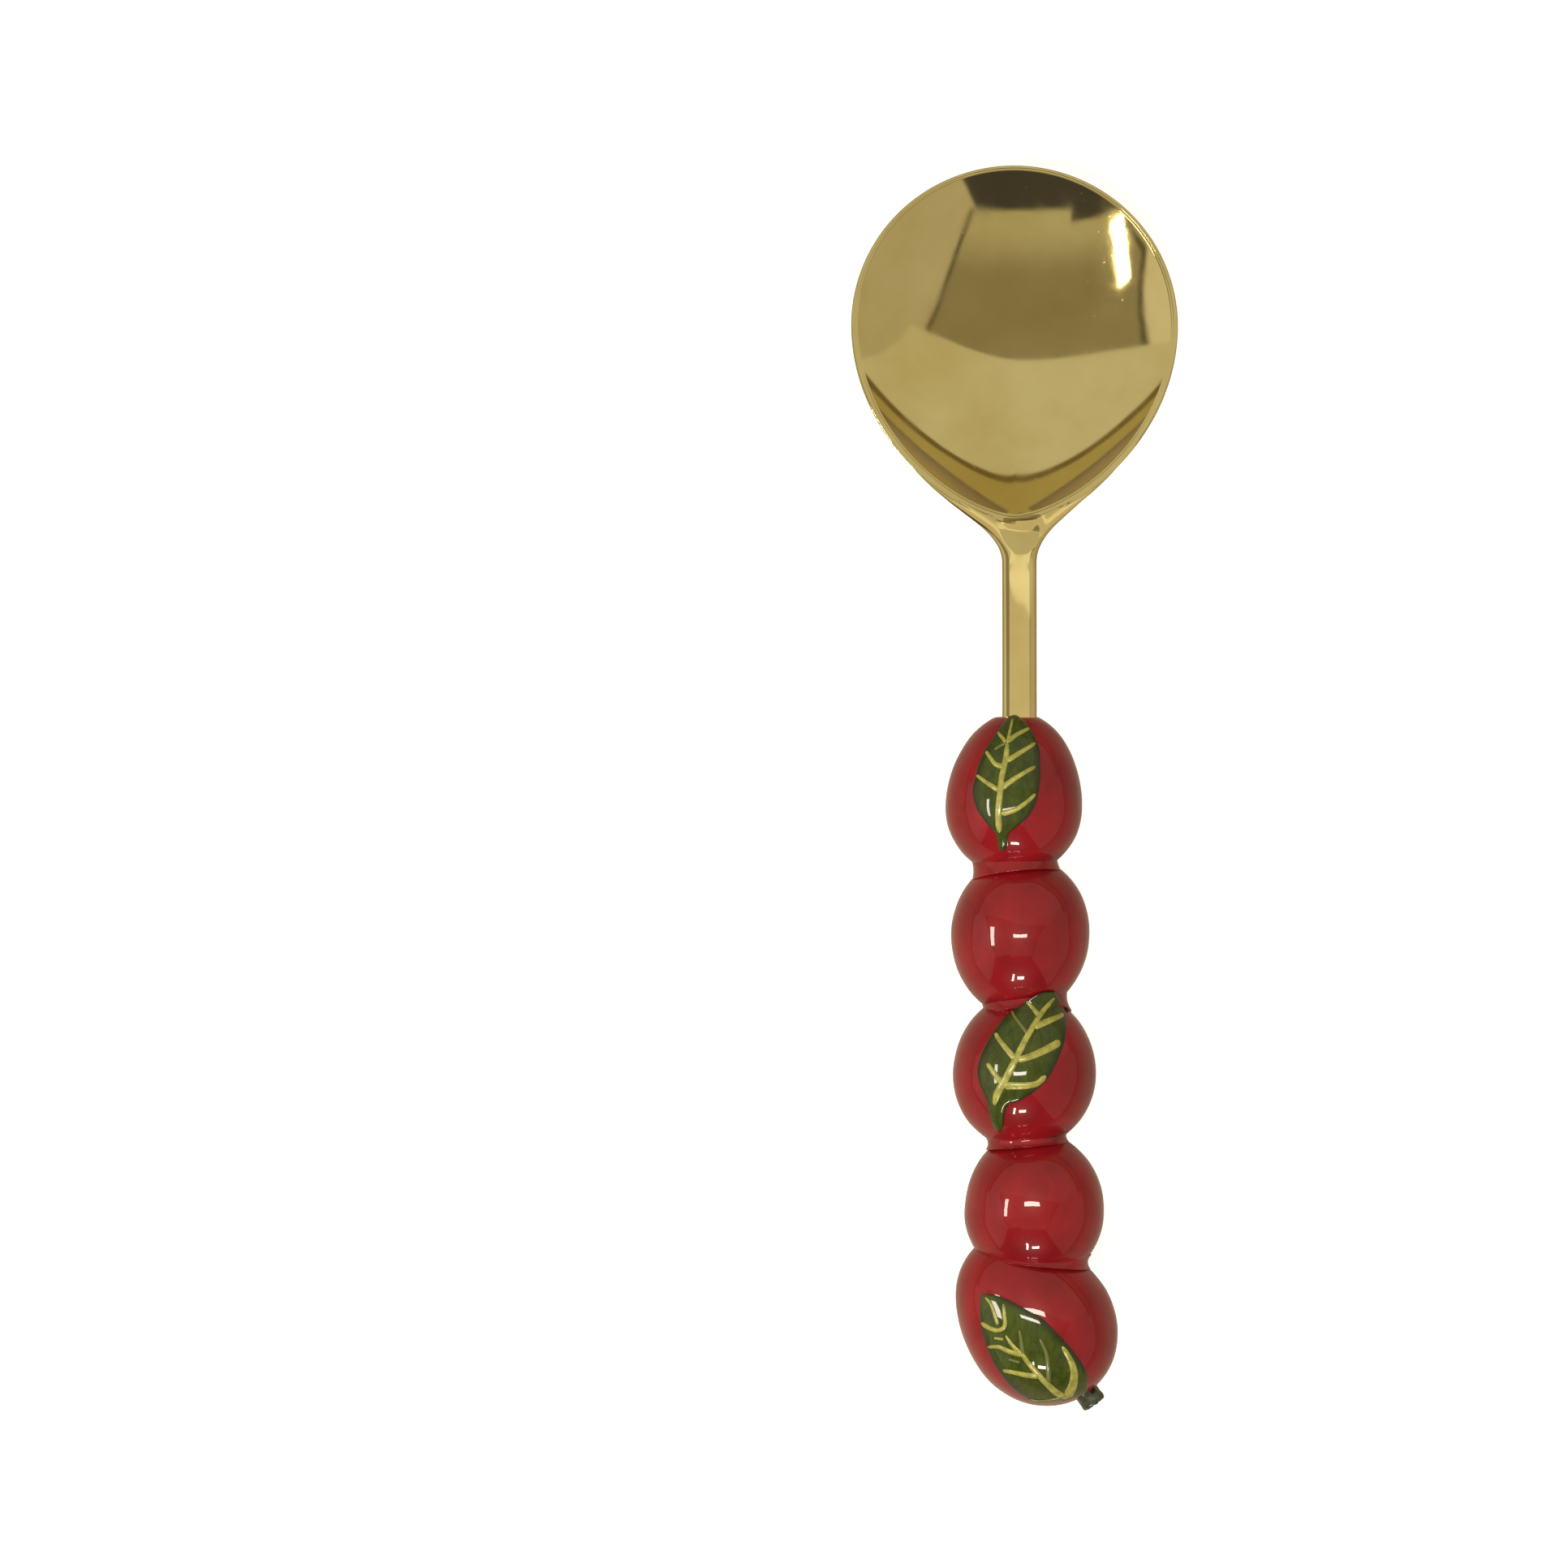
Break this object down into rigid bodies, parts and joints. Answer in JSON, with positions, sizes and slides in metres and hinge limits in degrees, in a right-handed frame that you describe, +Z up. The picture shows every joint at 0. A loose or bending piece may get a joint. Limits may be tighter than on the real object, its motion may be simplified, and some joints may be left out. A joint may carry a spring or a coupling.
{
  "type": "serving spoon",
  "caption": "Serving spoon with a deep polished metal bowl, a slim stem and a glossy red handle of stacked fruits with painted leaves in relief.",
  "frame": {"origin": "centre of the small flat foot under the bowl, on the table's surface", "axes": "+Y along the spoon towards the bowl's tip, +Z up out of the bowl, +X to the right when the bowl points away from the user"},
  "size_m": [0.0682, 0.2595, 0.0349],
  "materials": {
    "polished_brass": "mirror polished",
    "stem_brass": "mirror polished",
    "braze_alloy": "satin",
    "red_lacquer": "high gloss lacquer",
    "seam_paint": "gloss",
    "leaf_paint": "gloss, hand brushed",
    "vein_paint": "gloss, trailed paint",
    "stalk_paint": "gloss",
    "adhesive": "dull"
  },
  "bodies": {
    "root": {"bowl": "polished_brass", "brazing": "braze_alloy", "stem": "stem_brass", "adhesive_sleeve": "adhesive", "stalk": "stalk_paint", "fruit_1": "red_lacquer", "fruit_2": "red_lacquer", "fruit_3": "red_lacquer", "fruit_4": "red_lacquer", "fruit_5": "red_lacquer", "seam_filler_1": "seam_paint", "seam_filler_2": "seam_paint", "seam_filler_3": "seam_paint", "seam_filler_4": "seam_paint", "leaf_1": "leaf_paint", "veins_1": "vein_paint", "leaf_2": "leaf_paint", "veins_2": "vein_paint", "leaf_3": "leaf_paint", "veins_3": "vein_paint"}
  },
  "joints": []
}
